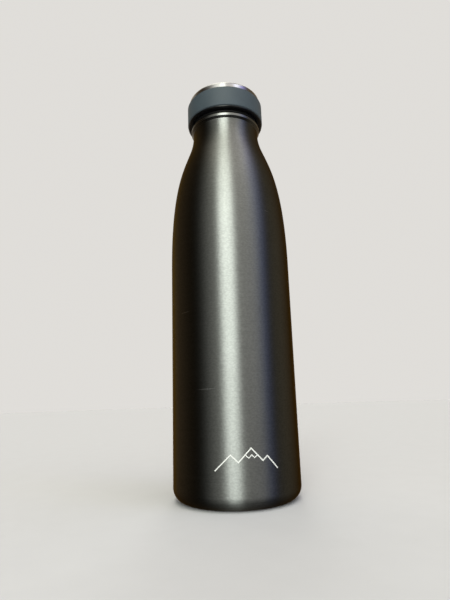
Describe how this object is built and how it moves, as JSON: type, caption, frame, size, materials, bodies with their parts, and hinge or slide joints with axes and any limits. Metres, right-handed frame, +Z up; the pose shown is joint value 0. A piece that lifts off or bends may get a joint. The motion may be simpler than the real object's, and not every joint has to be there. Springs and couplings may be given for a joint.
{
  "type": "insulated water bottle",
  "caption": "Slim double-walled steel drinking bottle with a tapered shoulder and a screw-in stopper under a steel-topped grip cap.",
  "frame": {"origin": "middle of the foot, at the height of the surface that the bottle stands on", "axes": "+Z up along the bottle's axis, towards the cap; +Y away from the side seen in the picture"},
  "size_m": [0.067, 0.067, 0.2334],
  "materials": {
    "lacquered_steel": "dark clear lacquer over fine brushing that runs round the bottle",
    "plain_steel": "mill finish",
    "base_steel": "circular brushing",
    "solder": "dull brazing bead",
    "getter_metal": "pressed powder",
    "foil": "bright copper foil",
    "liner_steel": "electropolished",
    "polished_steel": "polished bead",
    "black_silicone": "matt",
    "black_plastic": "moulded satin",
    "foam": "foam insert",
    "black_gloss_plastic": "glossy",
    "grey_silicone": "soft matt",
    "adhesive_foam": "foam tape",
    "cap_steel": "polished"
  },
  "bodies": {
    "bottle": {"outer_shell": "lacquered_steel", "shell_base": "plain_steel", "base_cover": "base_steel", "vacuum_seal": "solder", "getter_holder": "plain_steel", "getter": "getter_metal", "radiation_foil": "foil", "inner_liner": "liner_steel", "liner_base": "liner_steel", "lip_ring": "polished_steel"},
    "seal": {"seal_ring": "black_silicone"},
    "stopper": {"threaded_plug": "black_plastic", "plug_foam": "foam", "cap_core": "black_gloss_plastic", "grip_band": "grey_silicone", "cap_pad": "adhesive_foam", "cap_top": "cap_steel"}
  },
  "joints": [
    {"name": "stopper_lift", "type": "slide", "parent": "bottle", "child": "seal", "axis": [0, 0, 1], "range_m": [0, 0.01001]},
    {"name": "stopper_turn", "type": "hinge", "parent": "seal", "child": "stopper", "pos_m": [0, 0, 0.2136], "axis": [0, 0, 1], "range_deg": [0, 900]}
  ],
  "couplings": [
    {"joint": "stopper_lift", "follows": "stopper_turn", "m_per_rad": 0.00063662}
  ]
}
